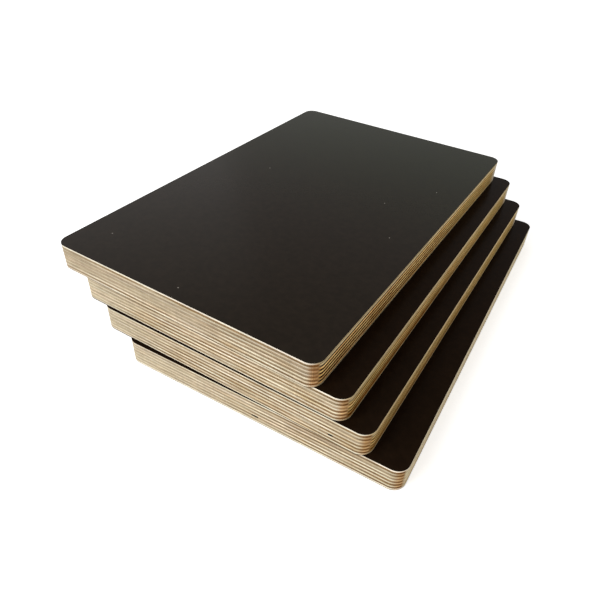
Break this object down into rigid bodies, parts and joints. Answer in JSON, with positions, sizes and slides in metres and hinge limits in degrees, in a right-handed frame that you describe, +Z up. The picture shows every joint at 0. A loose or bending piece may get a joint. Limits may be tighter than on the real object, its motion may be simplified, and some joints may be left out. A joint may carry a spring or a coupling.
{
  "type": "stack of plywood sheets",
  "caption": "Staggered stack of small rectangular film-faced plywood sheets with rounded corners, dark smooth faces and bare edges that show the crossed veneers.",
  "frame": {"origin": "middle of the underside of the bottom sheet, on the surface that the stack lies on", "axes": "+Z up through the stack, +Y along the long edges of the bottom sheet, +X along its short edges; the sheets above step towards -X"},
  "size_m": [0.2549, 0.3224, 0.0724],
  "materials": {
    "phenolic_film": "satin dark brown phenolic film, pressed on",
    "crosswise_veneer": "bare sawn edge, grain across the sheet",
    "lengthwise_veneer": "bare sawn edge, grain along the sheet"
  },
  "bodies": {
    "root": {"sheet_1_film_bottom": "phenolic_film", "sheet_1_veneer_01": "crosswise_veneer", "sheet_1_veneer_02": "lengthwise_veneer", "sheet_1_veneer_03": "crosswise_veneer", "sheet_1_veneer_04": "lengthwise_veneer", "sheet_1_veneer_05": "crosswise_veneer", "sheet_1_veneer_06": "lengthwise_veneer", "sheet_1_veneer_07": "crosswise_veneer", "sheet_1_veneer_08": "lengthwise_veneer", "sheet_1_veneer_09": "crosswise_veneer", "sheet_1_veneer_10": "lengthwise_veneer", "sheet_1_veneer_11": "crosswise_veneer", "sheet_1_veneer_12": "lengthwise_veneer", "sheet_1_veneer_13": "crosswise_veneer", "sheet_1_film_top": "phenolic_film", "sheet_2_film_bottom": "phenolic_film", "sheet_2_veneer_01": "crosswise_veneer", "sheet_2_veneer_02": "lengthwise_veneer", "sheet_2_veneer_03": "crosswise_veneer", "sheet_2_veneer_04": "lengthwise_veneer", "sheet_2_veneer_05": "crosswise_veneer", "sheet_2_veneer_06": "lengthwise_veneer", "sheet_2_veneer_07": "crosswise_veneer", "sheet_2_veneer_08": "lengthwise_veneer", "sheet_2_veneer_09": "crosswise_veneer", "sheet_2_veneer_10": "lengthwise_veneer", "sheet_2_veneer_11": "crosswise_veneer", "sheet_2_veneer_12": "lengthwise_veneer", "sheet_2_veneer_13": "crosswise_veneer", "sheet_2_film_top": "phenolic_film", "sheet_3_film_bottom": "phenolic_film", "sheet_3_veneer_01": "crosswise_veneer", "sheet_3_veneer_02": "lengthwise_veneer", "sheet_3_veneer_03": "crosswise_veneer", "sheet_3_veneer_04": "lengthwise_veneer", "sheet_3_veneer_05": "crosswise_veneer", "sheet_3_veneer_06": "lengthwise_veneer", "sheet_3_veneer_07": "crosswise_veneer", "sheet_3_veneer_08": "lengthwise_veneer", "sheet_3_veneer_09": "crosswise_veneer", "sheet_3_veneer_10": "lengthwise_veneer", "sheet_3_veneer_11": "crosswise_veneer", "sheet_3_veneer_12": "lengthwise_veneer", "sheet_3_veneer_13": "crosswise_veneer", "sheet_3_film_top": "phenolic_film", "sheet_4_film_bottom": "phenolic_film", "sheet_4_veneer_01": "crosswise_veneer", "sheet_4_veneer_02": "lengthwise_veneer", "sheet_4_veneer_03": "crosswise_veneer", "sheet_4_veneer_04": "lengthwise_veneer", "sheet_4_veneer_05": "crosswise_veneer", "sheet_4_veneer_06": "lengthwise_veneer", "sheet_4_veneer_07": "crosswise_veneer", "sheet_4_veneer_08": "lengthwise_veneer", "sheet_4_veneer_09": "crosswise_veneer", "sheet_4_veneer_10": "lengthwise_veneer", "sheet_4_veneer_11": "crosswise_veneer", "sheet_4_veneer_12": "lengthwise_veneer", "sheet_4_veneer_13": "crosswise_veneer", "sheet_4_film_top": "phenolic_film"}
  },
  "joints": []
}
